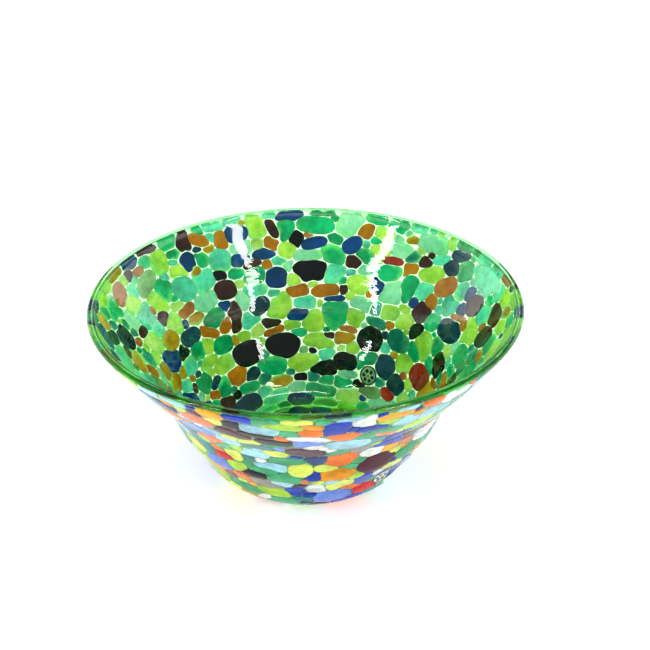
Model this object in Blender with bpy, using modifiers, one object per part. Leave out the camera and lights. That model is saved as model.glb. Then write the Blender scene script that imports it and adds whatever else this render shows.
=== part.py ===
"""Art glass bowl: a flared, free-blown bowl of clear green glass with coloured chips fused outside.

Metres, +Z up.  The foot ring rests on z = 0 and the turning axis is the Z axis.
Angles are counter-clockwise from +X as seen from above.
All turned bodies share the same facet angles, so the gaps between them stay even.
"""
import math
import random

import bpy

MM = 0.001
SEGMENTS = 52                 # facets around every turned body
FIT_GAP = 0.3                 # mm between neighbouring bodies
CHIP_THICKNESS = 1.2          # mm of chip glass on the outside of the wall
WALL_THICKNESS = 4.0          # mm, gather and chips together
OUTLINE_POINTS = 11           # corners of one chip outline
CUTTER_REACH = 3.5            # mm a chip cutter stands to each side of the wall

# Outside of the wall below the lip, bottom to top, (radius, height) in mm.
# Two shallow waists, near 26 and 53 mm, are left from the blowing.
WALL = (
    (53.2, 0.9), (57.6, 3.4), (62.0, 6.9), (67.4, 12.5), (71.6, 20.0), (74.3, 27.0), (79.3, 35.0),
    (84.0, 42.5), (87.3, 51.0), (90.7, 60.0), (96.6, 70.0), (104.0, 80.0), (112.0, 90.0),
    (119.2, 100.0), (125.5, 110.0), (129.2, 116.0),
)
INSIDE_POINTS = (3, 4, 5, 6, 7, 8, 9, 11, 13, 15)    # wall points whose insets shape the inside
# Lip from the chip shoulder over the top to the inside, and the two sides of the base.
LIP = ((130.0, 118.0), (129.6, 119.5), (128.6, 120.0), (127.2, 119.8), (126.3, 119.0))
FLOOR = ((0.0, 9.2), (24.0, 8.8), (44.0, 8.1), (54.0, 8.8), (60.0, 11.2))
FOOT = ((51.8, 0.25), (50.8, 0.0), (46.4, 0.0), (45.3, 0.5))
KICK = ((44.8, 2.8), (22.0, 3.8), (0.0, 4.0))
BASE_DISC_RADIUS = 44.2

COLOURS = {
    "green_gather": (0.05, 0.42, 0.16),
    "small_chips": (0.32, 0.66, 0.42),
    "base_chips": (0.38, 0.58, 0.40),
    "amber": (1.00, 0.52, 0.02),
    "aubergine": (0.16, 0.02, 0.07),
    "black": (0.012, 0.012, 0.016),
    "cobalt": (0.02, 0.07, 0.55),
    "green": (0.06, 0.45, 0.18),
    "grey": (0.34, 0.33, 0.36),
    "lavender": (0.36, 0.44, 0.93),
    "lemon": (0.72, 0.90, 0.16),
    "lime": (0.42, 0.80, 0.10),
    "orange": (1.00, 0.22, 0.02),
    "pale_blue": (0.52, 0.82, 0.95),
    "red": (0.68, 0.05, 0.05),
    "salmon": (0.90, 0.34, 0.20),
    "slate": (0.10, 0.15, 0.26),
    "teal": (0.04, 0.42, 0.40),
    "white": (0.86, 0.90, 0.86),
    "daisy": (0.90, 0.86, 0.70),
}

# Large chips: colour, angle in degrees, height on the wall, width, height, tilt in degrees, taper.
# Sizes are in mm along the wall.  Tilt turns the long side from "around" towards "up".
# A positive taper makes the top of the chip wider than its bottom.
CHIPS = (
    ("black", 88.0, 80.5, 26.0, 14.5, 0, 0.18),
    ("cobalt", 102.0, 78.0, 17.0, 15.0, 0, 0.0),
    ("orange", 81.5, 69.8, 22.0, 8.5, -6, 0.0),
    ("green", 86.0, 108.0, 30.0, 12.0, 0, 0.0),
    ("cobalt", 87.0, 97.0, 20.0, 8.0, -12, 0.0),
    ("lime", 96.6, 93.0, 12.5, 11.5, 0, 0.0),
    ("aubergine", 101.2, 107.0, 17.0, 7.0, 66, 0.2),
    ("cobalt", 113.6, 106.5, 17.0, 12.0, 0, 0.1),
    ("orange", 127.0, 108.5, 18.0, 8.0, 30, 0.0),
    ("slate", 111.5, 63.0, 17.0, 11.0, -25, 0.0),
    ("black", 102.5, 35.5, 24.0, 17.0, 0, 0.1),
    ("black", 122.0, 35.5, 23.0, 16.0, -6, 0.1),
    ("aubergine", 124.0, 77.0, 17.0, 13.0, 0, 0.0),
    ("green", 133.5, 46.5, 17.0, 12.0, 0, 0.0),
    ("green", 134.0, 64.0, 20.0, 10.5, -15, 0.0),
    ("cobalt", 133.5, 98.5, 13.0, 13.0, -20, 0.0),
    ("pale_blue", 140.5, 86.0, 18.0, 17.0, 0, 0.0),
    ("slate", 150.0, 62.0, 20.0, 10.5, 0, 0.0),
    ("amber", 161.5, 68.5, 18.0, 12.0, 0, 0.0),
    ("grey", 154.0, 99.0, 25.0, 11.0, -18, 0.0),
    ("salmon", 167.5, 105.0, 18.0, 12.0, -30, 0.0),
    ("black", 182.5, 91.0, 19.0, 16.0, -10, 0.1),
    ("amber", 178.5, 62.0, 13.0, 12.0, 0, 0.0),
    ("cobalt", 73.0, 97.0, 15.0, 11.0, -32, 0.0),
    ("green", 56.5, 85.5, 18.0, 12.0, -12, 0.0),
    ("green", 46.5, 79.5, 13.0, 21.0, 0, 0.2),
    ("black", 57.0, 43.5, 20.0, 18.0, 0, -0.1),
    ("teal", 41.8, 49.0, 19.0, 15.5, 0, 0.0),
    ("black", 68.0, 27.0, 18.0, 13.0, -10, 0.0),
    ("salmon", 31.5, 89.5, 18.0, 14.0, -38, 0.15),
    ("red", 19.5, 39.0, 22.0, 15.5, 0, 0.0),
    ("slate", 17.0, 73.0, 29.0, 14.5, -14, 0.0),
    ("black", 9.5, 55.5, 19.0, 15.5, 0, 0.15),
    ("aubergine", 14.5, 92.0, 16.0, 15.0, 0, 0.0),
    ("aubergine", 356.5, 88.5, 19.0, 14.0, -18, 0.0),
    ("green", 359.0, 72.0, 20.0, 14.0, 0, 0.0),
    ("amber", 291.0, 111.2, 30.0, 6.5, 0, 0.0),
    ("cobalt", 286.0, 101.8, 20.0, 7.5, -4, 0.0),
    ("pale_blue", 281.5, 83.0, 26.0, 16.0, -14, 0.0),
    ("orange", 281.5, 63.0, 18.0, 15.0, 0, 0.0),
    ("amber", 281.0, 46.5, 21.0, 12.5, 0, 0.0),
    ("aubergine", 297.0, 50.5, 24.0, 17.0, 0, 0.0),
    ("lavender", 281.0, 19.5, 23.0, 13.0, 0, 0.0),
    ("lemon", 267.0, 53.5, 13.0, 14.0, 0, 0.0),
    ("aubergine", 269.0, 75.0, 23.0, 14.0, -18, 0.0),
    ("pale_blue", 258.0, 104.0, 25.0, 9.0, -8, 0.0),
    ("salmon", 241.0, 101.5, 20.0, 13.0, 0, 0.0),
    ("lemon", 242.5, 60.0, 12.0, 12.0, 0, 0.0),
    ("cobalt", 264.0, 27.5, 13.0, 11.0, 0, 0.0),
    ("green", 312.5, 49.5, 20.0, 13.0, -10, 0.0),
    ("white", 208.0, 98.0, 22.0, 13.0, 6, 0.0),
    ("pale_blue", 215.0, 63.0, 20.0, 13.0, -8, 0.0),
    ("amber", 224.0, 32.0, 16.0, 11.0, 0, 0.0),
    ("orange", 329.0, 99.0, 20.0, 12.0, 8, 0.0),
    ("lime", 336.0, 66.0, 18.0, 13.0, 0, 0.0),
)
# Round cane slices: angle, height on the wall, diameter.
DAISIES = ((306.0, 26.5, 13.0), (52.5, 22.0, 14.0))


def clear_scene():
    """Start from an empty file."""
    for thing in list(bpy.data.objects):
        bpy.data.objects.remove(thing, do_unlink=True)


def new_collection(name):
    collection = bpy.data.collections.new(name)
    bpy.context.scene.collection.children.link(collection)
    return collection


def glass_material(colour):
    """One Principled material per glass colour, made the first time it is asked for."""
    name = "glass_" + colour
    found = bpy.data.materials.get(name)
    if found:
        return found
    material = bpy.data.materials.new(name)
    material.use_nodes = True
    shader = material.node_tree.nodes["Principled BSDF"]
    shader.inputs["Base Color"].default_value = (*COLOURS[colour], 1.0)
    shader.inputs["Roughness"].default_value = 0.08
    shader.inputs["Metallic"].default_value = 0.0
    return material


def add_object(name, vertices, edges, faces, collection):
    mesh = bpy.data.meshes.new(name)
    mesh.from_pydata(vertices, edges, faces)
    thing = bpy.data.objects.new(name, mesh)
    collection.objects.link(thing)
    return thing


def apply_modifiers(thing, material):
    """Swap the object's mesh for its modified one and shade it."""
    depsgraph = bpy.context.evaluated_depsgraph_get()
    mesh = bpy.data.meshes.new_from_object(thing.evaluated_get(depsgraph))
    thing.modifiers.clear()
    thing.data = mesh
    mesh.materials.clear()
    mesh.materials.append(material)
    mesh.shade_smooth()
    mesh.set_sharp_from_angle(angle=math.radians(32))


def inward_normals(points):
    """Unit normals of a bottom-to-top profile, pointing to the inside of the bowl."""
    normals = []
    for index in range(len(points)):
        (r0, z0), (r1, z1) = points[max(index - 1, 0)], points[min(index + 1, len(points) - 1)]
        length = math.hypot(r1 - r0, z1 - z0)
        normals.append((-(z1 - z0) / length, (r1 - r0) / length))
    return normals


def inset(points, distance):
    """The same profile moved towards the inside of the bowl."""
    return [(r + n[0] * distance, z + n[1] * distance)
            for (r, z), n in zip(points, inward_normals(points))]


def shoulder(end, beyond, normal, depth):
    """Step of the gather just past one end of the chip layer: outer corner, inner corner."""
    length = math.hypot(beyond[0] - end[0], beyond[1] - end[1])
    outer = tuple(e + FIT_GAP * (b - e) / length for e, b in zip(end, beyond))
    return outer, (outer[0] + normal[0] * depth, outer[1] + normal[1] * depth)


def gather_profile():
    """Whole section of the clear green glass, from the floor's centre over the lip to the kick."""
    depth = CHIP_THICKNESS + FIT_GAP
    normals = inward_normals(WALL)
    top_outer, top_inner = shoulder(WALL[-1], LIP[0], normals[-1], depth)
    low_outer, low_inner = shoulder(WALL[0], FOOT[0], normals[0], depth)
    inside = [inset(WALL, WALL_THICKNESS)[index] for index in INSIDE_POINTS]
    under_chips = inset(WALL, depth)
    return ([*FLOOR, *inside, *reversed(LIP), top_outer, top_inner, *reversed(under_chips)]
            + [low_inner, low_outer, *FOOT, *KICK])


def chip_layer_profile():
    """Closed section of the chip layer, outside downwards and back up its inner face."""
    return [*reversed(WALL), *inset(WALL, CHIP_THICKNESS)]


def base_disc_profile():
    """Thin skin of chips lying in the kick under the base."""
    top = [(min(r, BASE_DISC_RADIUS), z - FIT_GAP) for r, z in reversed(KICK)]
    return top + [(r, z - CHIP_THICKNESS) for r, z in reversed(top)]


def turn(name, profile, closed, collection):
    """Turn a section in mm about the Z axis."""
    vertices = [(r * MM, 0.0, z * MM) for r, z in profile]
    edges = [(i, i + 1) for i in range(len(vertices) - 1)]
    if closed:
        edges.append((len(vertices) - 1, 0))
    thing = add_object(name, vertices, edges, [], collection)
    screw = thing.modifiers.new("turn", "SCREW")
    screw.axis = "Z"
    screw.angle = math.tau
    screw.steps = screw.render_steps = SEGMENTS
    screw.use_merge_vertices = True
    screw.merge_threshold = 0.00001
    return thing


def wall_point(height):
    """Radius and outward normal of the wall's outside at a height in mm."""
    for (r0, z0), (r1, z1) in zip(WALL, WALL[1:]):
        if height <= z1 or (r1, z1) == WALL[-1]:
            share = (height - z0) / (z1 - z0)
            length = math.hypot(r1 - r0, z1 - z0)
            return r0 + share * (r1 - r0), ((z1 - z0) / length, -(r1 - r0) / length)


def chip_outline(width, height, tilt, taper, seed, grow):
    """Rounded, slightly uneven outline of a chip, as (around, up) in mm."""
    uneven = random.Random(seed)
    turn_by = math.radians(tilt)
    outline = []
    for corner in range(OUTLINE_POINTS):
        angle = math.tau * corner / OUTLINE_POINTS
        c, s = math.cos(angle), math.sin(angle)
        reach = uneven.uniform(0.96, 1.0) / (abs(c) ** 2.7 + abs(s) ** 2.7) ** (1 / 2.7)
        along = (width / 2 + grow) * c * reach * (1 + taper * s)
        across = (height / 2 + grow) * s * reach
        outline.append((along * math.cos(turn_by) - across * math.sin(turn_by),
                        along * math.sin(turn_by) + across * math.cos(turn_by)))
    return outline


def chip_cutter(name, angle, height, outline, collection):
    """Prism through the wall with the chip's outline, standing square to the wall."""
    radius, (out_r, out_z) = wall_point(height)
    c, s = math.cos(math.radians(angle)), math.sin(math.radians(angle))
    centre = (radius * c, radius * s, height)
    around, up, out = (-s, c, 0.0), (-out_z * c, -out_z * s, out_r), (out_r * c, out_r * s, out_z)
    count = len(outline)
    vertices = [tuple(MM * (centre[k] + a * around[k] + b * up[k] + side * out[k]) for k in range(3))
                for side in (-CUTTER_REACH, CUTTER_REACH) for a, b in outline]
    faces = [tuple(reversed(range(count))), tuple(range(count, 2 * count))]
    faces += [(i, (i + 1) % count, count + (i + 1) % count, count + i) for i in range(count)]
    thing = add_object(name, vertices, [], faces, collection)
    thing.display_type = "WIRE"
    thing.hide_render = True
    return thing


def add_boolean(thing, operation, cutter=None, cutters=None):
    boolean = thing.modifiers.new("cut", "BOOLEAN")
    boolean.solver = "EXACT"
    boolean.operation = operation
    if cutters:
        boolean.operand_type = "COLLECTION"
        boolean.collection = cutters
    else:
        boolean.object = cutter


def placed_pieces():
    """Name, colour, place and outline settings of every chip and cane slice."""
    counts = {}
    for colour, angle, height, width, tall, tilt, taper in CHIPS:
        counts[colour] = counts.get(colour, 0) + 1
        yield f"chip_{colour}_{counts[colour]:02d}", colour, angle, height, (width, tall, tilt, taper)
    for number, (angle, height, across) in enumerate(DAISIES, 1):
        yield f"daisy_slice_{number:02d}", "daisy", angle, height, (across, across, 0, 0.0)


def build():
    clear_scene()
    bowl = new_collection("art_glass_bowl")
    pockets = new_collection("pocket_cutters")
    shapes = new_collection("chip_cutters")

    apply_modifiers(turn("green_gather", gather_profile(), False, bowl), glass_material("green_gather"))
    apply_modifiers(turn("base_chip_disc", base_disc_profile(), False, bowl),
                    glass_material("base_chips"))

    for seed, (name, colour, angle, height, form) in enumerate(placed_pieces()):
        chip_cutter("pocket_" + name, angle, height, chip_outline(*form, seed, FIT_GAP), pockets)
        cutter = chip_cutter("shape_" + name, angle, height, chip_outline(*form, seed, 0.0), shapes)
        chip = turn(name, chip_layer_profile(), True, bowl)
        add_boolean(chip, "INTERSECT", cutter=cutter)
        apply_modifiers(chip, glass_material(colour))

    layer = turn("small_chip_layer", chip_layer_profile(), True, bowl)
    add_boolean(layer, "DIFFERENCE", cutters=pockets)
    apply_modifiers(layer, glass_material("small_chips"))


build()
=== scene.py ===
"""Looks of the art glass bowl: clear green glass with fused chips of coloured opal glass.

Work is done in mm and turned into metres when a mesh is made.  "theta" is the angle round the
bowl from +X, "s" the length along the outside from the foot up, "depth" the distance under the
outside.  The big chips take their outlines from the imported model; the small ones grow around them.
"""

import math
import random

import bpy
import numpy as np
from mathutils import Matrix, Vector


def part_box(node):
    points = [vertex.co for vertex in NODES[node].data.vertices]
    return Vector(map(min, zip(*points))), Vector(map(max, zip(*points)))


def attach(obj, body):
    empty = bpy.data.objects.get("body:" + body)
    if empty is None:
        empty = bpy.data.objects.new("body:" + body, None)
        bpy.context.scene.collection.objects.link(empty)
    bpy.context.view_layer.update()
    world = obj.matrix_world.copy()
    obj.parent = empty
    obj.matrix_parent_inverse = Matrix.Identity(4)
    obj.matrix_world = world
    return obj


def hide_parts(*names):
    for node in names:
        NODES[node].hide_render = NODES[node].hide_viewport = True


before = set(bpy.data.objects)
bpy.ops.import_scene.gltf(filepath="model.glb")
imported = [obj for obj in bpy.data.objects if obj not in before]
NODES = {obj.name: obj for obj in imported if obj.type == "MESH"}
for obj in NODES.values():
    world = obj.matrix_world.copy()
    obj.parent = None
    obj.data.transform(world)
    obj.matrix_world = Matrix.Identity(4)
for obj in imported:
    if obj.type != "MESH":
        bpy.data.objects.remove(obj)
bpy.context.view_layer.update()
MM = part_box("green_gather")[1].z / 120.0      # metres in a millimetre of the drawing below

# Section of the bowl (radius, height): outside, lip, floor, and the underside inside the foot.
WALL = (
    (48.0, 0.15), (50.8, 0.2), (53.2, 0.9), (57.6, 3.4), (62.0, 6.9), (67.4, 12.5), (71.6, 20.0),
    (74.3, 27.0), (79.3, 35.0), (84.0, 42.5), (87.3, 51.0), (90.7, 60.0), (96.6, 70.0),
    (104.0, 80.0), (112.0, 90.0), (119.2, 100.0), (125.5, 110.0), (129.0, 116.0), (129.7, 117.8),
)
LIP = ((130.0, 118.0), (129.6, 119.4), (128.6, 120.0), (127.2, 119.8), (126.3, 118.9))
FOOT = ((51.6, 0.22), (50.4, 0.0), (46.8, 0.0), (45.5, 0.45))
FLOOR = ((0.0, 9.2), (24.0, 8.8), (44.0, 8.1), (54.0, 8.8), (60.0, 11.2))
KICK = ((0.0, 2.5), (22.0, 2.3), (44.2, 1.3), (46.5, 0.3), (48.0, 0.15))
WALL_THICKNESS = 4.0
INSIDE_FROM = 67.0            # outside radius from which the inside follows the outside
SKIN_FROM = 53.0              # the same for the face of the green glass under the chips
GLASS_DEPTH = 0.2             # the green glass lies this far under the tops of the chips
FINE_STEP, COARSE_STEP = 0.55, 1.8      # length of its faces at lip and foot, and elsewhere
TURN_STEPS = 288              # vertices round the green glass

OUTLINE = 32                  # vertices round one chip
HALF_VEINS = (0.08, 0.2, 0.4)  # glass that a chip leaves round itself, half of a vein
GROWTH = 2.4                  # how far a small chip may spread past its drawn size
NODE_GROWTH = 1.16            # the same for a chip that has its own solid in the model
GROWTH_START, GROWTH_STEPS = 0.25, 130  # first share of the drawn size, and sizes tried
SCATTER_NEAR, GROWTH_NEAR = 36.0, 44.0  # distance within which two chips can touch
OVERLAP = 0.9                 # share of their reach that two drawn chips keep between centres
UNEVEN = 0.012                # share by which an outline wanders in and out
SMALLEST = 1.7                # mean reach under which a grown chip is left out
EDGE_MARGIN, LIP_MARGIN = 0.5, 0.8      # bare glass at the borders, and more of it at the lip
FOOT_MARGIN = 0.6             # the same between the underside's chips and the foot ring
PLACE_MARGIN = 1.0            # distance from the borders within which no chip is centred
LEAST_SHARE = 0.3             # part of a small chip's reach that its rings keep in any case
LOWEST = 0.12                 # height of the lowest chips over the table
SURFACE_STEP = 0.5            # distance between the points that the chips' surface is read from
SQUARENESS = 2.6              # exponent of the chips' rounded outline
SEED = 11                     # of every random draw
# Section of one chip: (distance in from the outline, share of the radius kept, depth).
CHIP_RINGS = ((1.2, 0.5, 0.0), (0.75, 1.0, 0.03), (0.25, 1.0, 0.13), (0.0, 1.0, 0.4),
              (0.0, 1.0, 1.05), (0.08, 1.0, 1.25), (0.4, 1.0, 1.32), (0.8, 0.5, 1.33))
INNER_FROM = 0.7              # depth from which a chip has its inside colour, the lighter one with painted backlight

# Linear colours of the opal glass: on the outside, and on the inside under the green glass.
# The inside ones are mostly lighter copies: painted light for light shining through the chips from
# behind.
PALETTE = {
    "amber": ((0.60, 0.24, 0.003), (1.0, 0.40, 0.004)),
    "aubergine": ((0.055, 0.005, 0.0168), (0.15, 0.022, 0.045)),
    "black": ((0.0042, 0.0042, 0.0067), (0.007, 0.005, 0.018)),
    "cobalt": ((0.0042, 0.025, 0.269), (0.003, 0.085, 0.50)),
    "green": ((0.04, 0.28, 0.125), (0.005, 0.54, 0.42)),
    "grey": ((0.168, 0.176, 0.16), (0.40, 0.48, 0.36)),
    "lavender": ((0.109, 0.185, 0.504), (0.26, 0.66, 0.96)),
    "lemon": ((0.504, 0.588, 0.092), (0.95, 1.0, 0.42)),
    "lime": ((0.319, 0.521, 0.042), (0.72, 1.0, 0.24)),
    "orange": ((0.60, 0.12, 0.003), (1.0, 0.27, 0.005)),
    "pale_blue": ((0.235, 0.462, 0.546), (0.28, 0.82, 0.95)),
    "red": ((0.403, 0.0109, 0.0134), (0.70, 0.04, 0.04)),
    "salmon": ((0.571, 0.16, 0.067), (1.0, 0.27, 0.12)),
    "slate": ((0.0084, 0.032, 0.109), (0.010, 0.08, 0.28)),
    "teal": ((0.025, 0.17, 0.17), (0.025, 0.38, 0.46)),
    "white": ((0.571, 0.605, 0.58), (0.56, 1.0, 0.98)),
}
# The same for the cane slices, their inside colours likewise lightened with painted backlight.
DAISY = {
    "jacket": ((0.0084, 0.042, 0.034), (0.01, 0.08, 0.08)),
    "ground": ((0.588, 0.605, 0.538), (0.75, 1.0, 0.8)),
    "petal": ((0.0101, 0.034, 0.084), (0.012, 0.06, 0.16)),
    "heart": ((0.672, 0.319, 0.0168), (1.0, 0.5, 0.03)),
}
DARK, LIGHT = 0.56, 1.35              # shares of the colour where a chip is darkest and lightest
THIN_EDGE_BACKLIGHT = (0.50, 1.0, 0.50, 1.0)   # pale green painted where a pale chip thins out at its edge: painted backlight shining through
GLASS_COLOUR, GLASS_DENSITY = (0.13, 0.905, 0.0, 1.0), 168.0    # what the green glass absorbs
CLEAR = (1.0, 1.0, 1.0, 1.0)
LIP_PAINTED_SHADE = (0.30, 0.52, 0.40, 1.0)    # painted shade: the lip is tinted darker for the dark look of its thick glass
LIP_SHADE_HEIGHTS = (116.6 * MM, 119.0 * MM)   # height over which that painted shade comes in
# Parts of a cane slice, as shares of its radius, and the circle that its petals stand on.
DAISY_SIZES = {"jacket": 1.0, "ground": 0.84, "petal": 0.21, "heart": 0.2}
PETALS, PETAL_CIRCLE = 6, 0.5
# Share of each colour among the chips that are not listed one by one.
SCATTER = (("pale_blue", 17), ("white", 7), ("green", 20), ("lime", 13), ("lemon", 7),
           ("teal", 9), ("lavender", 7), ("cobalt", 8), ("orange", 6), ("amber", 5),
           ("aubergine", 5), ("black", 4), ("salmon", 2), ("slate", 4), ("red", 2), ("grey", 2))
# The same under the foot, where the darker ones gather.
SCATTER_BASE = (("green", 24), ("teal", 16), ("grey", 12), ("slate", 12), ("aubergine", 8),
                ("black", 8), ("lime", 7), ("cobalt", 5), ("amber", 5), ("lavender", 3))
# Sizes tried for those chips, (width, height, tries), large ones first.
SIZES = ((23, 14, 900), (19, 12.5, 1500), (16, 11, 2200), (13, 9.5, 2600), (10, 8, 3000),
         (7.5, 6.5, 3000), (5.5, 5, 2500))

# Chips listed one by one: colour, then (theta, height, width, tall, tilt) for each.
PLACED = (
    ("green", (96.5, 105.5, 9, 13, 0), (84, 115, 20, 4.5, 0), (117, 84.5, 11, 7, 0),
     (76.5, 55.5, 18, 19, 0), (93.5, 43, 10, 6, 0), (109, 25, 17, 12, 0), (78, 13, 12, 7, 0),
     (138, 113, 12, 8, 0), (137.8, 106, 10, 6, 0), (128.5, 97, 10, 9, 0), (149, 91, 12, 13, 0),
     (149.5, 52, 12, 11, 0), (156, 33, 15, 10, 0), (143.5, 23, 12, 12, 0), (127, 15, 15, 8, 0),
     (176, 104, 19, 9, -20), (66, 115, 19, 6, 0), (30, 49, 11, 11, 0), (68, 13, 14, 8, 0),
     (348, 92, 13, 11, 0), (356, 63.5, 14, 8, 0), (17, 50, 10, 7, 0), (3, 52, 10, 10, 0),
     (350, 109, 13, 9, 0), (260.5, 115, 14, 6.5, 0), (262.5, 62.5, 18, 8, -10),
     (252, 50.5, 15, 6.5, 0), (261, 43, 18, 9, 0), (291, 95.5, 21, 8, -18)),
    ("cobalt", (95.5, 114.2, 19, 6, 0), (105.5, 92.3, 11, 8, 0), (77.5, 65.4, 15, 4, -5),
     (93.2, 55, 15, 8.5, 0), (253.5, 115.3, 15, 6.5, 0), (277, 107.5, 11, 14, -10),
     (298, 71.5, 19, 8, -15), (293.5, 34.5, 12, 13, 0)),
    ("pale_blue", (114.5, 115, 12, 6, 0), (78.5, 80.5, 15, 12, -25), (100.3, 87, 11, 5, 0),
     (111.5, 73, 16, 8, 0), (90.3, 62.5, 16, 8.5, 0), (79.5, 30, 9, 7, -20),
     (130.5, 85.5, 15, 10, -20), (122, 93, 13, 14, 0), (164, 86, 19, 13, 0), (158, 48, 15, 12, 0),
     (40.5, 81.5, 11, 10, 0), (51, 115, 13, 6, 0), (39, 102, 13, 6, -20), (24.5, 93, 9, 15, 0),
     (17, 107, 25, 14, 0), (6.5, 92.5, 11, 14, 0), (8, 107, 9, 10, 0), (252, 68, 15, 11, 0),
     (256, 55, 18, 6, 0), (258, 37, 16, 6, 0), (279.5, 116, 16, 4.5, 0), (302, 102, 14, 12, 0),
     (244.5, 79.5, 13, 14, 0), (237, 115, 15, 6, 0)),
    ("white", (89, 90.3, 25, 5.5, 0), (112.5, 98, 14, 8, 0), (117.8, 68, 8, 12, 0),
     (134, 75, 19, 7.5, -15), (171.5, 91, 12, 12, 0), (52, 74.5, 18, 12, 0), (65, 65, 15, 9, 0),
     (44, 109, 24, 13, 0), (55, 99, 17, 6.5, 0), (269.5, 95.3, 21, 5, -14), (272.2, 31, 9, 11, 0),
     (293, 64.5, 12, 9, 0), (300, 37.5, 8, 6, 0), (308, 111, 16, 8, 0)),
    ("lime", (107, 109, 9, 14, 0), (101, 61.5, 13, 13, 0), (96.5, 48.5, 11, 6, 0),
     (86.5, 50.5, 16, 14, 0), (83.5, 37.5, 18, 11, 0), (92.3, 25.5, 21, 9, -10),
     (144.5, 105, 13, 15, 0), (154.5, 88, 12, 15, 0), (142, 51, 10, 10, 0), (122, 47, 9, 6, 0),
     (145.5, 41, 14, 7, 0), (137.5, 35, 16, 9, 0), (40, 92.5, 18, 9, -20), (50, 64.5, 16, 9, -10),
     (41.5, 63, 14, 9, 0), (26.5, 57, 15, 17, 0), (68, 75, 17, 12, 0), (67.5, 56, 12, 11, 0),
     (34.5, 38.5, 15, 12, 0), (62, 106, 14, 8, 0), (62.5, 96.5, 12, 9, 0), (2, 110, 15, 9, 0),
     (352, 102, 13, 8, 0), (177, 112, 14, 7, 0), (264.5, 109.3, 15, 6.5, -8),
     (253.5, 24.5, 20, 7, 0)),
    ("lemon", (267.5, 115.5, 19, 5.5, 0), (276.5, 54.5, 8, 6, 0), (284.5, 34, 16, 9, 0),
     (273.5, 40, 8, 5, 0), (303.5, 57, 9, 6, -10), (306, 40, 18, 6, -25), (171, 75, 14, 12, 0),
     (147, 80, 10, 6, 0)),
    ("teal", (85.5, 14.5, 9, 6, 0), (182, 76, 11, 9, 0), (55.5, 55.5, 13, 6, 0),
     (350, 73, 10, 9, 0), (255, 79.5, 17, 8.5, -10), (248, 60.5, 8, 6, 0), (267.5, 18.5, 9, 5, 0),
     (291.5, 83.5, 9, 11, 0)),
    ("lavender", (236.5, 84.5, 20, 17, 0), (232, 44, 16, 11, 0)),
    ("orange", (119.3, 105.5, 8, 12, 0), (102.3, 97.3, 9, 7, 0), (93.4, 69.3, 12, 8, 0),
     (106.5, 45.8, 16, 5, -16), (138.7, 58.5, 10, 8, 20), (132.5, 25, 15, 11, 0),
     (151.5, 23, 10, 5.5, 25), (188, 71, 7.5, 10, 0), (69.3, 106.5, 10, 9, 0),
     (8, 115.5, 13, 5, 0), (346, 85.5, 14, 5, 0), (16.5, 81.5, 19, 3.5, -15),
     (270, 103.2, 12, 6, 0), (279.5, 95.5, 13, 7.5, -10), (241.5, 35.5, 10, 13, 0),
     (289.5, 27.5, 10, 5, -15), (301, 112.5, 14, 7, -20)),
    ("amber", (71.8, 40.5, 12, 8.5, 0), (106.5, 13.5, 18, 8, 0), (164.5, 114.5, 19, 6, 0),
     (132.2, 92.5, 6, 6, 0), (142, 69.5, 11, 6, 0), (126.5, 46, 6, 6, 0), (165.5, 49.5, 8.5, 9, 0),
     (186, 107, 10, 11, 0), (51.5, 107.3, 9, 4.5, 0), (246.5, 113.5, 14, 8, 0),
     (271, 109.8, 11, 5, -25), (300, 63, 11, 7, -20)),
    ("aubergine", (110.5, 87.3, 15, 5, -8), (107, 50.3, 12, 5.5, 0), (78.8, 41, 9, 5, 0),
     (158.4, 109, 6.5, 6.5, 0), (147.5, 115.5, 18, 5.5, 10), (123.3, 60, 9, 17, 10),
     (72, 87.5, 12, 8.5, 0), (44.7, 97, 10, 6.5, 0), (35.5, 71.5, 12.5, 12, 0),
     (1, 99.5, 14, 9, 0)),
    ("black", (79.5, 20.5, 15, 10, -20), (94, 14.5, 10, 4.5, 0), (158.5, 57, 12, 7, 0),
     (136.5, 14, 6.5, 6, 0), (34, 61.5, 13, 8, -25), (57, 14.5, 10, 4, 0),
     (256.5, 97.3, 19, 6.5, -10), (261, 89, 21, 10, -14)),
    ("salmon", (70.5, 47.3, 11, 5, 0), (153.7, 107, 11, 4.5, 0), (159.5, 86, 6, 7, 0),
     (145, 75.5, 13, 7, 0), (178.5, 83.5, 7, 5, 0), (292, 89.5, 18, 4, -28),
     (308, 62, 13, 5.5, -22)),
    ("slate", (147.8, 28.7, 11, 5, -20), (183.5, 115.5, 12, 5.5, 0), (31.8, 109, 15, 7, -15),
     (33.7, 100.5, 12, 8.5, 0), (44.3, 31.5, 16, 15, 0), (32, 25.5, 15, 11, 0)),
    ("red", (57.3, 91.5, 14, 5, 0), (237, 55.5, 13, 6, 0), (297, 21, 14, 9.5, 0)),
    ("grey", (47, 12, 17, 8, 0), (251, 35, 16, 12, 0)),
)

# Light of the surroundings by height (sine of the elevation): white sweep below a dim room.
SKY = ((0.0, 2.5), (0.26, 2.5), (0.40, 0.3), (0.9, 0.3), (1.0, 0.6))
# Softboxes: name, direction, distance, width and height, watts, whether the glass mirrors it.
SOFTBOXES = (
    ("window_right", (0.56, -0.53, 0.64), 2.2, (0.17, 1.2), 14, True),
    ("window_left", (-0.67, -0.41, 0.61), 2.2, (0.17, 1.2), 14, True),
    ("ceiling", (0.0, 0.15, 1.0), 2.4, (1.8, 1.8), 56, False),
    ("ceiling_tube", (0.1, 0.3, 1.0), 2.2, (1.0, 0.12), 6, True),
)
# Camera round the middle of the mouth: metres, degrees, and the lens in mm.
CAMERA = {"distance": 0.6037, "elevation": 28.14, "pan": 1.06, "tilt": -1.90, "roll": -0.86,
          "lens": 55.4}
STAGE_HALF, STAGE_DROP = 6.0, 0.0003    # half the floor's side, and its gap under the foot
STAGE_GLOW = 0.35                       # keeps the floor white where the bowl shades it


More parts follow.
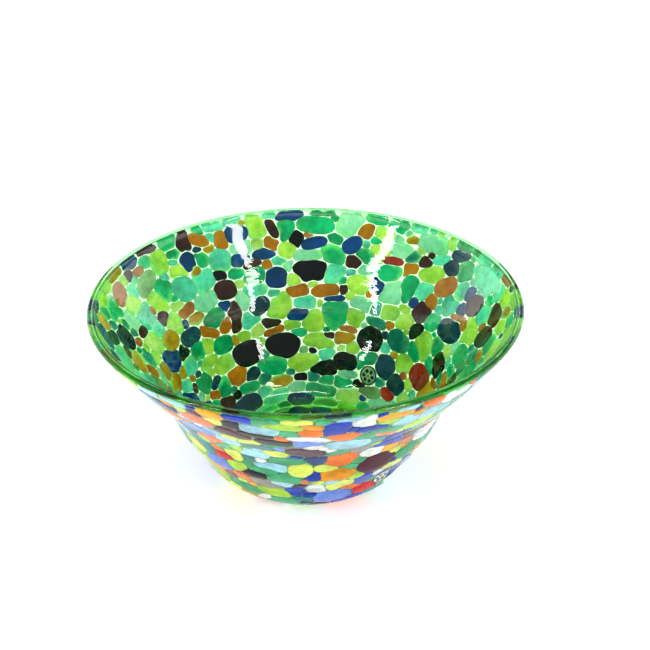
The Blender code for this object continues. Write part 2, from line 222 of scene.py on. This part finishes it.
def hermite(points, step):
    """Smooth curve through points in the plane, with a point about every step (one or a list)."""
    p = np.array(points, float)
    t = np.r_[0, np.cumsum(np.linalg.norm(np.diff(p, axis=0), axis=1))]
    slope = np.diff(p, axis=0) / np.diff(t)[:, None]
    h = np.diff(t)[:, None]
    inner = (slope[:-1] * h[1:] + slope[1:] * h[:-1]) / (h[1:] + h[:-1])
    tangent = np.vstack([slope[:1], inner, slope[-1:]])
    out = []
    for i, length in enumerate(np.broadcast_to(step, len(p) - 1)):
        count = max(2, int(math.ceil((t[i + 1] - t[i]) / length)))
        q = (np.arange(count) / count)[:, None]
        out.append((2 * q**3 - 3 * q**2 + 1) * p[i] + (q**3 - 2 * q**2 + q) * h[i] * tangent[i]
                   + (3 * q**2 - 2 * q**3) * p[i + 1] + (q**3 - q**2) * h[i] * tangent[i + 1])
    return np.vstack([*out, p[-1:]])


def outward(curve):
    """Unit normals of a curve that runs up the outside of the wall."""
    d = np.gradient(curve, axis=0)
    d /= np.linalg.norm(d, axis=1)[:, None]
    return np.column_stack([d[:, 1], -d[:, 0]])


class WallSurface:
    """Outside of the wall from the foot ring to just under the lip: (theta, s) in degrees, mm."""

    def __init__(self):
        self.curve = hermite(WALL, SURFACE_STEP)
        self.curve[:, 1] = np.maximum(self.curve[:, 1], LOWEST)
        self.normal = outward(self.curve)
        self.s = np.r_[0, np.cumsum(np.linalg.norm(np.diff(self.curve, axis=0), axis=1))]
        self.length = self.s[-1]

    def radius(self, s):
        return np.interp(s, self.s, self.curve[:, 0])

    def s_at_height(self, z):
        return np.interp(z, self.curve[:, 1], self.s)

    def offsets(self, a, b):
        """From centre a to centres b, in mm around and up; moved() goes the other way."""
        turn = (b[..., 0] - a[..., 0] + 180) % 360 - 180
        return np.radians(turn) * self.radius(b[..., 1]), b[..., 1] - a[..., 1]

    def moved(self, centre, u, v):
        return np.stack([centre[0] + np.degrees(u / self.radius(centre[1])), centre[1] + v], -1)

    def inside(self, place, margin):
        """Whether places keep that distance from the borders."""
        top = self.length - margin - LIP_MARGIN
        return (place[..., 1] > margin) & (place[..., 1] < top)

    def point(self, place, depth):
        """Places, at a depth under the outside, as x, y and z in mm."""
        theta, s = np.radians(place[..., 0]), place[..., 1]
        r = np.interp(s, self.s, self.curve[:, 0]) - depth * np.interp(s, self.s, self.normal[:, 0])
        z = np.interp(s, self.s, self.curve[:, 1]) - depth * np.interp(s, self.s, self.normal[:, 1])
        return np.stack([r * np.cos(theta), r * np.sin(theta), z], -1)

    def random_place(self, rng):
        """Every patch of the wall is as likely as any other of its area."""
        while True:
            s = rng.uniform(PLACE_MARGIN, self.length - PLACE_MARGIN)
            if rng.random() < self.radius(s) / LIP[0][0]:
                return np.array([rng.uniform(0, 360), s])


class BaseSurface:
    """Underside inside the foot ring, seen from below: (x, -y) in mm.  Its methods mean the same."""

    def __init__(self):
        self.curve = hermite(KICK, SURFACE_STEP)
        self.edge = self.curve[-1, 0] - FOOT_MARGIN

    def offsets(self, a, b):
        return b[..., 0] - a[..., 0], b[..., 1] - a[..., 1]

    def moved(self, centre, u, v):
        return np.stack([centre[0] + u, centre[1] + v], -1)

    def inside(self, place, margin):
        return np.hypot(place[..., 0], place[..., 1]) < self.edge - margin

    def point(self, place, depth):
        z = np.interp(np.hypot(place[..., 0], place[..., 1]), self.curve[:, 0], self.curve[:, 1])
        return np.stack([place[..., 0], -place[..., 1], z + depth], -1)

    def random_place(self, rng):
        angle, r = rng.uniform(0, math.tau), self.edge * math.sqrt(rng.random())
        return np.array([r * math.cos(angle), r * math.sin(angle)])


PHI = np.arange(OUTLINE) * math.tau / OUTLINE


class Chip:
    """One chip: its place, and how far its outline is from the centre in each direction."""

    def __init__(self, colour, place, reach, node=None):
        self.colour, self.place, self.reach, self.node = colour, place, reach, node


def oval_reach(width, tall, tilt):
    """Outline between an oval and a box, tilted by degrees."""
    c, s = np.cos(PHI - math.radians(tilt)), np.sin(PHI - math.radians(tilt))
    return (np.abs(c / (width / 2))**SQUARENESS + np.abs(s / (tall / 2))**SQUARENESS)**(-1 / SQUARENESS)


def reach_at(reach, phi):
    """Distance of the outline in the directions phi."""
    q = (phi / math.tau * OUTLINE) % OUTLINE
    low = np.floor(q).astype(int)
    share = q - low
    return reach[low % OUTLINE] * (1 - share) + reach[(low + 1) % OUTLINE] * share


def rounded(reach, passes):
    """The outline with its corners softened."""
    for _ in range(passes):
        reach = (np.roll(reach, 1) + 2 * reach + np.roll(reach, -1)) / 4
    return reach


def convex_hull(points):
    """Corners of the hull, anticlockwise."""
    pts = sorted(map(tuple, points))
    halves = []
    for run in (pts, pts[::-1]):
        half = []
        for p in run:
            while len(half) > 1 and ((half[-1][0] - half[-2][0]) * (p[1] - half[-2][1])
                                     - (half[-1][1] - half[-2][1]) * (p[0] - half[-2][0])) <= 0:
                half.pop()
            half.append(p)
        halves += half[:-1]
    return np.array(halves)


def outline_of_node(node, wall):
    """Centre and reach of a CAD chip, read off the part of its mesh that lies on the outside."""
    co = np.array([v.co for v in NODES[node].data.vertices]) / MM
    rz = np.column_stack([np.hypot(co[:, 0], co[:, 1]), co[:, 2]])
    nearest = np.argmin(((rz[:, None] - wall.curve[None])**2).sum(-1), axis=1)
    depth = ((wall.curve[nearest] - rz) * wall.normal[nearest]).sum(-1)
    top = depth < 0.6
    theta = np.degrees(np.arctan2(co[top, 1], co[top, 0]))
    middle = math.degrees(math.atan2(co[top, 1].mean(), co[top, 0].mean())) % 360
    s = wall.s[nearest[top]]
    place = np.array([middle, (s.min() + s.max()) / 2])
    u = np.radians((theta - middle + 180) % 360 - 180) * wall.radius(place[1])
    hull = convex_hull(np.column_stack([u, s - place[1]]))
    edge = np.roll(hull, -1, axis=0) - hull
    normal = np.column_stack([edge[:, 1], -edge[:, 0]])
    away = (normal * hull).sum(-1)
    facing = normal @ np.vstack([np.cos(PHI), np.sin(PHI)])
    with np.errstate(divide="ignore"):
        reach = np.where(facing > 1e-9, away[:, None] / facing, np.inf).min(0)
    return place, rounded(reach, 2)


def too_close(chips, place, reach, surface):
    """True if an outline at that place would run into a chip already there."""
    centres = np.array([c.place for c in chips])
    u, v = surface.offsets(place, centres)
    near = np.flatnonzero(np.hypot(u, v) < SCATTER_NEAR)
    if not len(near):
        return False
    phi = np.arctan2(v[near], u[near])
    mine = reach_at(reach, phi)
    theirs = np.array([reach_at(chips[k].reach, p + math.pi) for k, p in zip(near, phi)])
    return bool((np.hypot(u[near], v[near]) < OVERLAP * (mine + theirs)).any())


def scatter(chips, surface, rng, sizes, shares, shrink=1.0):
    """Fills the room that is left with chips, large ones first."""
    colours = [c for c, share in shares for _ in range(share)]
    for width, tall, tries in sizes:
        for _ in range(tries):
            place = surface.random_place(rng)
            size = rng.uniform(0.85, 1.15) * shrink
            reach = oval_reach(width * size, tall * size * rng.uniform(0.85, 1.15),
                               rng.gauss(0, 16))
            if not too_close(chips, place, reach, surface):
                chips.append(Chip(rng.choice(colours), place, reach))


def grow(chips, surface, rng):
    """Lets the chips spread until only a glass vein is left between them."""
    steps = np.linspace(GROWTH_START, GROWTH, GROWTH_STEPS)
    centres = np.array([c.place for c in chips])
    grown = []
    for i, chip in enumerate(chips):
        cu, cv = surface.offsets(chip.place, centres)
        near = [k for k in np.flatnonzero(np.hypot(cu, cv) < GROWTH_NEAR) if k != i]
        u = np.outer(steps, chip.reach * np.cos(PHI))
        v = np.outer(steps, chip.reach * np.sin(PHI))
        open_to = surface.inside(surface.moved(chip.place, u, v), EDGE_MARGIN)
        if chip.node:
            open_to &= steps[:, None] < NODE_GROWTH
        for k in near:
            du, dv = u - cu[k], v - cv[k]
            theirs = np.hypot(du, dv) / reach_at(chips[k].reach, np.arctan2(dv, du))
            most = NODE_GROWTH if chips[k].node else GROWTH
            open_to &= theirs > np.minimum(steps, most)[:, None]
        last = np.where(open_to.all(0), len(steps) - 1, np.argmin(open_to, axis=0))
        reach = np.maximum(chip.reach * steps[last] - rng.choice(HALF_VEINS), 0.2)
        bumps = sum(rng.uniform(-UNEVEN, UNEVEN) * np.sin(n * PHI + rng.uniform(0, 6))
                    for n in (2, 3, 5))
        grown.append(rounded(reach, 1) * (1 + bumps))
    for chip, reach in zip(chips, grown):
        chip.reach = reach
    return [c for c in chips if c.node or c.reach.mean() > SMALLEST]


def chip_rows(chip, surface, rings, centre=(0.0, 0.0)):
    """Vertices of one closed chip: centre, rings, centre."""
    rows = []
    for inset, share, depth in rings:
        reach = np.maximum(chip.reach - inset, chip.reach * LEAST_SHARE) * share
        place = surface.moved(chip.place, centre[0] + reach * np.cos(PHI),
                              centre[1] + reach * np.sin(PHI))
        rows.append(surface.point(place, depth))
    middle = surface.moved(chip.place, np.array([centre[0]]), np.array([centre[1]]))
    first, last = (surface.point(middle, rings[k][2]) for k in (0, -1))
    return np.vstack([first, *rows, last])


def chip_faces(start, rings):
    """Faces of one closed chip whose vertices begin at start."""
    n = OUTLINE
    ring = [start + 1 + k * n for k in range(rings)]
    end = start + 1 + rings * n
    faces = [(start, ring[0] + i, ring[0] + (i + 1) % n) for i in range(n)]
    for a, b in zip(ring, ring[1:]):
        faces += [(a + i, b + i, b + (i + 1) % n, a + (i + 1) % n) for i in range(n)]
    faces += [(end, ring[-1] + (i + 1) % n, ring[-1] + i) for i in range(n)]
    return faces


def add_piece(name, points_mm, faces, material, nodes=(), shades=None):
    """A mesh object on the bowl's one body that stands for the given CAD nodes."""
    mesh = bpy.data.meshes.new(name)
    mesh.from_pydata((np.asarray(points_mm) * MM).tolist(), [], faces)
    mesh.materials.append(material)
    mesh.shade_smooth()
    if shades is not None:
        for label, values in zip(("tone", "inner", "fade"), np.asarray(shades, np.float32).T):
            mesh.attributes.new(label, "FLOAT", "POINT").data.foreach_set("value", values)
    piece = bpy.data.objects.new(name, mesh)
    bpy.context.scene.collection.objects.link(piece)
    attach(piece, "root")
    if nodes:
        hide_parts(*nodes)


def chip_shades(rings, rng):
    """Tone (each chip's own, changing across it), inner side and edge of each vertex."""
    own, slope, toward = rng.uniform(-0.6, 0.6), rng.uniform(0.1, 0.7), rng.uniform(0, math.tau)
    across = own + slope * np.cos(PHI - toward)
    # fade: where along its edge a chip thins and takes the painted backlight
    fade = np.clip(rng.uniform(-0.4, 0.5) + 0.5 * np.cos(PHI - rng.uniform(0, math.tau)), 0, 1)
    rows = [(own, 0.0, 0.0)]
    for inset, share, depth in rings:
        edge = 1.0 if share == 1.0 else 0.0
        rows += [(own + (tone - own) * share, float(depth > INNER_FROM), edge * f)
                 for tone, f in zip(across, fade)]
    return rows + [(own, 1.0, 0.0)]


def add_chips(name, chips, material, rng, nodes=()):
    """One piece made of the given (chip, surface) pairs."""
    rows, faces, shades = [], [], []
    for chip, surface in chips:
        faces += chip_faces(sum(map(len, rows)), len(CHIP_RINGS))
        rows.append(chip_rows(chip, surface, CHIP_RINGS))
        shades += chip_shades(CHIP_RINGS, rng)
    add_piece(name, np.vstack(rows), faces, material, nodes, shades)


# ---- materials ----------------------------------------------------------------------------

class Tree:
    """Short way to make the nodes of one material."""

    def __init__(self, name):
        self.material = bpy.data.materials.new(name)
        self.material.use_nodes = True
        self.nodes, self.links = self.material.node_tree.nodes, self.material.node_tree.links
        self.shader = self.nodes["Principled BSDF"]
        self.output = self.nodes["Material Output"]

    def add(self, kind, **inputs):
        node = self.nodes.new(kind)
        for key, value in inputs.items():
            self.feed(node.inputs[key.replace("_", " ")], value)
        return node

    def feed(self, socket, value):
        if isinstance(value, bpy.types.NodeSocket):
            self.links.new(value, socket)
        else:
            socket.default_value = value

    def noise(self, scale, detail=3.0, roughness=0.5, stretch=None):
        place = self.add("ShaderNodeTexCoord").outputs["Object"]
        if stretch:
            mapping = self.add("ShaderNodeMapping", Vector=place)
            mapping.inputs["Scale"].default_value = stretch
            place = mapping.outputs[0]
        return self.add("ShaderNodeTexNoise", Vector=place, Scale=scale, Detail=detail,
                        Roughness=roughness).outputs[0]

    def attribute(self, name):
        node = self.nodes.new("ShaderNodeAttribute")
        node.attribute_name = name
        return node.outputs["Fac"]

    def ranged(self, value, low, high, to_low, to_high):
        node = self.add("ShaderNodeMapRange", Value=value)
        for key, number in zip(("From Min", "From Max", "To Min", "To Max"),
                               (low, high, to_low, to_high)):
            node.inputs[key].default_value = number
        return node.outputs[0]

    def math(self, operation, a, b):
        node = self.nodes.new("ShaderNodeMath")
        node.operation = operation
        self.feed(node.inputs[0], a)
        self.feed(node.inputs[1], b)
        return node.outputs[0]

    def mix(self, share, a, b):
        node = self.nodes.new("ShaderNodeMix")
        node.data_type = "RGBA"
        for index, value in ((0, share), (6, a), (7, b)):
            self.feed(node.inputs[index], value)
        return node.outputs[2]

    def bump(self, height, strength, distance):
        node = self.add("ShaderNodeBump", Height=height)
        node.inputs["Strength"].default_value = strength
        node.inputs["Distance"].default_value = distance
        self.feed(self.shader.inputs["Normal"], node.outputs[0])


def opal_material(name, outside, inside):
    """Glossy opal glass: clouded and streaked inside each chip, every chip in its own tone, its inner
    faces in the lighter colour with painted backlight.
    """
    tree = Tree(name)
    own = tree.ranged(tree.attribute("tone"), -1.2, 1.2, 0.1, 0.9)
    clouds = tree.ranged(tree.noise(190.0, 4.0, 0.6), 0.3, 0.7, -0.28, 0.28)
    streaks = tree.ranged(tree.noise(420.0, 2.0, 0.5, (1.0, 1.0, 2.6)), 0.5, 0.75, 0.0, -0.25)
    shade = tree.math("ADD", tree.math("ADD", own, clouds), streaks)
    faces = []
    for colour in (outside, inside):
        dark = (*(c * DARK for c in colour), 1.0)
        light = (*(min(1.0, c * LIGHT) for c in colour), 1.0)
        faces.append(tree.mix(shade, dark, light))
    if inside[1] > 0.3:       # bright enough that a thin edge lets the light through, painted in as pale green
        thin = tree.math("MULTIPLY", tree.attribute("fade"), tree.ranged(clouds, -0.2, 0.2, 0.5, 1))
        faces[1] = tree.mix(thin, faces[1], THIN_EDGE_BACKLIGHT)
    # painted backlight: faces under the green glass take the lighter inside colour
    tree.feed(tree.shader.inputs["Base Color"], tree.mix(tree.attribute("inner"), *faces))
    tree.feed(tree.shader.inputs["Roughness"],
              tree.ranged(tree.noise(160.0), 0.3, 0.7, 0.03, 0.1))
    tree.bump(tree.noise(95.0, 2.0), 0.22, 0.0006)
    tree.shader.inputs["IOR"].default_value = 1.5
    tree.shader.inputs["Specular IOR Level"].default_value = 0.1
    tree.shader.inputs["Subsurface Weight"].default_value = 1.0
    tree.shader.inputs["Subsurface Radius"].default_value = (1.0, 1.0, 1.0)
    tree.shader.inputs["Subsurface Scale"].default_value = 0.003
    return tree.material


def gather_material():
    """Clear green glass with the soft ripples that blowing leaves in it."""
    tree = Tree("clear_green_glass")
    shader = tree.shader
    height = tree.add("ShaderNodeSeparateXYZ", Vector=tree.add("ShaderNodeTexCoord").outputs["Object"])
    # painted shade: the glass darkens towards the lip
    tree.feed(shader.inputs["Base Color"],
              tree.mix(tree.ranged(height.outputs["Z"], *LIP_SHADE_HEIGHTS, 0.0, 1.0), CLEAR, LIP_PAINTED_SHADE))
    shader.inputs["Transmission Weight"].default_value = 1.0
    shader.inputs["Roughness"].default_value = 0.0
    shader.inputs["IOR"].default_value = 1.47
    swirl = tree.noise(34.0, 2.0, 0.5, (1.0, 1.0, 0.35))
    rings = tree.noise(42.0, 2.0, 0.5, (1.0, 1.0, 6.0))
    where = tree.ranged(tree.noise(16.0, 1.0), 0.42, 0.62, 0.15, 0.9)
    tree.bump(tree.math("ADD", swirl, tree.math("MULTIPLY", rings, where)), 0.45, 0.0012)
    absorb = tree.nodes.new("ShaderNodeVolumeAbsorption")
    absorb.inputs["Color"].default_value = GLASS_COLOUR
    absorb.inputs["Density"].default_value = GLASS_DENSITY
    tree.links.new(absorb.outputs[0], tree.output.inputs["Volume"])
    return tree.material


def floor_material():
    """Pale sweep, very slightly uneven in tone."""
    tree = Tree("pale_floor")
    shade = tree.ranged(tree.noise(3.0, 4.0), 0.3, 0.7, 0.0, 1.0)
    tree.feed(tree.shader.inputs["Base Color"],
              tree.mix(shade, (0.94, 0.94, 0.935, 1.0), (0.96, 0.96, 0.96, 1.0)))
    tree.shader.inputs["Roughness"].default_value = 0.5
    tree.shader.inputs["Emission Color"].default_value = (1.0, 1.0, 1.0, 1.0)
    tree.shader.inputs["Emission Strength"].default_value = STAGE_GLOW
    return tree.material


# ---- the glass body -------------------------------------------------------------------------

def gather_section():
    """Section of the green glass from the floor's middle over the lip to the kick's middle."""
    outer = hermite(WALL, 2.0)
    normal = outward(outer)
    inside = outer - normal * WALL_THICKNESS
    inside = inside[(outer[:, 0] > INSIDE_FROM)][::4]
    skin = outer - normal * GLASS_DEPTH
    skin = skin[outer[:, 0] > SKIN_FROM][::-1][::3]
    under = [(r, z + GLASS_DEPTH) for r, z in KICK[:3]][::-1]
    points = [*FLOOR, *inside, *LIP[::-1], *skin, *FOOT, *under]
    lip_from, foot_to = 117.0, 1.3
    steps = [FINE_STEP if min(a[1], b[1]) > lip_from or max(a[1], b[1]) < foot_to else COARSE_STEP
             for a, b in zip(points, points[1:])]
    curve = hermite(points, steps)
    curve[:, 1] = np.clip(curve[:, 1], 0.0, LIP[2][1])
    curve[:, 0] = np.clip(curve[:, 0], 0.0, LIP[0][0])
    return curve


def turned(curve, steps):
    """Vertices and faces of a section that starts and ends on the axis, turned about it."""
    theta = np.arange(steps) * math.tau / steps
    ring = curve[1:-1]
    points = np.stack([np.outer(ring[:, 0], np.cos(theta)), np.outer(ring[:, 0], np.sin(theta)),
                       np.outer(ring[:, 1], np.ones(steps))], -1).reshape(-1, 3)
    points = np.vstack([points, [[0, 0, curve[0, 1]], [0, 0, curve[-1, 1]]]])
    first, last, n = len(points) - 2, len(points) - 1, steps
    faces = [(first, i, (i + 1) % n) for i in range(n)]
    for k in range(len(ring) - 1):
        a, b = k * n, (k + 1) * n
        faces += [(a + i, b + i, b + (i + 1) % n, a + (i + 1) % n) for i in range(n)]
    a = (len(ring) - 1) * n
    faces += [(last, a + (i + 1) % n, a + i) for i in range(n)]
    return points, faces


def inlay_rings(proud):
    """Section of a cane inlay that shows on both faces of the slice."""
    return ((0.0, 0.5, -proud), (0.15, 1.0, -proud), (0.0, 1.0, 0.1 - proud),
            (0.0, 1.0, 1.25 + proud), (0.15, 1.0, 1.35 + proud), (0.0, 0.5, 1.35 + proud))


def add_inlay(name, chip, wall, proud, material, rng, centres=((0.0, 0.0),)):
    """One piece of equal inlays, standing that many mm proud so that each covers the last."""
    rings = inlay_rings(proud)
    rows, faces, shades = [], [], []
    for centre in centres:
        faces += chip_faces(sum(map(len, rows)), len(rings))
        rows.append(chip_rows(chip, wall, rings, centre=centre))
        shades += chip_shades(rings, rng)
    add_piece(name, np.vstack(rows), faces, material, shades=shades)


def build_daisy(node, wall, rng, materials):
    """A plain six-petal cane slice: dark jacket, cream ground, round petals, yellow heart."""
    place, reach = outline_of_node(node, wall)
    radius = float(reach.mean())

    def disc(part):
        return Chip("daisy", place, np.full(OUTLINE, radius * DAISY_SIZES[part]))

    circle = PETAL_CIRCLE * radius
    around = [(circle * math.cos(a), circle * math.sin(a))
              for a in (math.tau * k / PETALS for k in range(PETALS))]
    add_chips(node + "_jacket", [(disc("jacket"), wall)], materials["jacket"], rng,
              [node])
    add_inlay(node + "_ground", disc("ground"), wall, 0.04, materials["ground"], rng)
    add_inlay(node + "_petals", disc("petal"), wall, 0.08, materials["petal"], rng, around)
    add_inlay(node + "_heart", disc("heart"), wall, 0.1, materials["heart"], rng)


def build_bowl():
    """The green glass, then the chips of the wall and of the underside, then the slices."""
    wall, base = WallSurface(), BaseSurface()
    rng = random.Random(SEED)
    materials = {c: opal_material("opal_" + c, *PALETTE[c]) for c in PALETTE}

    points, faces = turned(gather_section(), TURN_STEPS)
    add_piece("green_glass_body", points, faces, gather_material(),
              ["green_gather"])

    chips = []
    for node in sorted(NODES):
        if node.startswith(("chip_", "daisy_")):
            place, reach = outline_of_node(node, wall)
            colour = node.rsplit("_", 1)[0].removeprefix("chip_")
            chips.append(Chip(colour, place, reach, node))
    for colour, *rows in PLACED:
        for theta, z, width, tall, tilt in rows:
            place = np.array([float(theta), float(wall.s_at_height(z))])
            chips.append(Chip(colour, place, oval_reach(width, tall, tilt)))
    scatter(chips, wall, rng, SIZES, SCATTER)
    chips = grow(chips, wall, rng)

    under = [Chip("lime", np.array([3.0, -2.0]), oval_reach(15, 12, 20))]
    scatter(under, base, rng, SIZES[1:], SCATTER_BASE, 0.9)
    under = grow(under, base, rng)

    groups = {}
    for chip in chips:
        if chip.node is None:
            groups.setdefault(("small_chips", chip.colour), []).append((chip, wall))
        elif chip.colour in PALETTE:
            add_chips(chip.node + "_opal", [(chip, wall)], materials[chip.colour],
                      rng, [chip.node])
    for chip in under:
        groups.setdefault(("base_chips", chip.colour), []).append((chip, base))
    stands_for = {"small_chips": ["small_chip_layer"], "base_chips": ["base_chip_disc"]}
    for (layer, colour), members in sorted(groups.items(), key=lambda g: g[0]):
        add_chips(f"{layer}_{colour}", members, materials[colour], rng,
                  stands_for.get(layer, ()))

    daisy = {c: opal_material("daisy_" + c, *DAISY[c]) for c in DAISY}
    for node in sorted(n for n in NODES if n.startswith("daisy_")):
        build_daisy(node, wall, rng, daisy)


# ---- stage ------------------------------------------------------------------------------------

def build_floor():
    corners = ((-1, -1), (1, -1), (1, 1), (-1, 1))
    mesh = bpy.data.meshes.new("floor")
    mesh.from_pydata([(x * STAGE_HALF, y * STAGE_HALF, -STAGE_DROP) for x, y in corners],
                     [], [(0, 1, 2, 3)])
    mesh.materials.append(floor_material())
    floor = bpy.data.objects.new("floor", mesh)
    bpy.context.scene.collection.objects.link(floor)


def add_softbox(name, direction, distance, size, power, mirrored):
    """A rectangular lamp that faces the bowl."""
    data = bpy.data.lights.new(name, "AREA")
    data.shape = "RECTANGLE"
    data.size, data.size_y = size
    data.energy = power
    lamp = bpy.data.objects.new(name, data)
    lamp.location = Vector(direction).normalized() * distance
    lamp.rotation_euler = (-Vector(direction)).to_track_quat("-Z", "Y").to_euler()
    lamp.visible_glossy = mirrored
    bpy.context.scene.collection.objects.link(lamp)


def build_lights():
    """The surroundings, light by height, and the softboxes."""
    world = bpy.data.worlds.new("studio")
    bpy.context.scene.world = world
    world.use_nodes = True
    tree = world.node_tree
    background = tree.nodes["Background"]
    place = tree.nodes.new("ShaderNodeTexCoord")
    split = tree.nodes.new("ShaderNodeSeparateXYZ")
    ramp = tree.nodes.new("ShaderNodeValToRGB")
    tree.links.new(place.outputs["Generated"], split.inputs[0])
    tree.links.new(split.outputs["Z"], ramp.inputs["Fac"])
    tree.links.new(ramp.outputs["Color"], background.inputs["Color"])
    brightest = max(light for _, light in SKY)
    background.inputs["Strength"].default_value = brightest
    stops = ramp.color_ramp.elements
    while len(stops) < len(SKY):
        stops.new(1.0)
    for stop, (height, light) in zip(stops, SKY):
        stop.position = height
        stop.color = (*[light / brightest] * 3, 1.0)
    for row in SOFTBOXES:
        add_softbox(*row)


def swung(a, b, degrees):
    """Two unit vectors at right angles, turned in their plane from a towards b."""
    c, s = math.cos(math.radians(degrees)), math.sin(math.radians(degrees))
    return c * a + s * b, c * b - s * a


def build_camera():
    """Camera round the middle of the mouth, turned by the small pan, tilt and roll."""
    mouth = Vector((0, 0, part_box("green_gather")[1].z))
    elevation = math.radians(CAMERA["elevation"])
    forward = Vector((0, math.cos(elevation), -math.sin(elevation)))
    start = mouth - CAMERA["distance"] * forward
    right = Vector((1, 0, 0))
    up = right.cross(forward)
    forward, right = swung(forward, right, CAMERA["pan"])
    forward, up = swung(forward, up, CAMERA["tilt"])
    right, up = swung(right, up, CAMERA["roll"])
    data = bpy.data.cameras.new("camera")
    data.lens = CAMERA["lens"]
    camera = bpy.data.objects.new("camera", data)
    turn = Matrix((right, up, -forward)).transposed()
    camera.matrix_world = Matrix.Translation(start) @ turn.to_4x4()
    bpy.context.scene.collection.objects.link(camera)
    bpy.context.scene.camera = camera


build_bowl()
build_floor()
build_lights()
build_camera()
bpy.context.scene.view_settings.view_transform = "Standard"
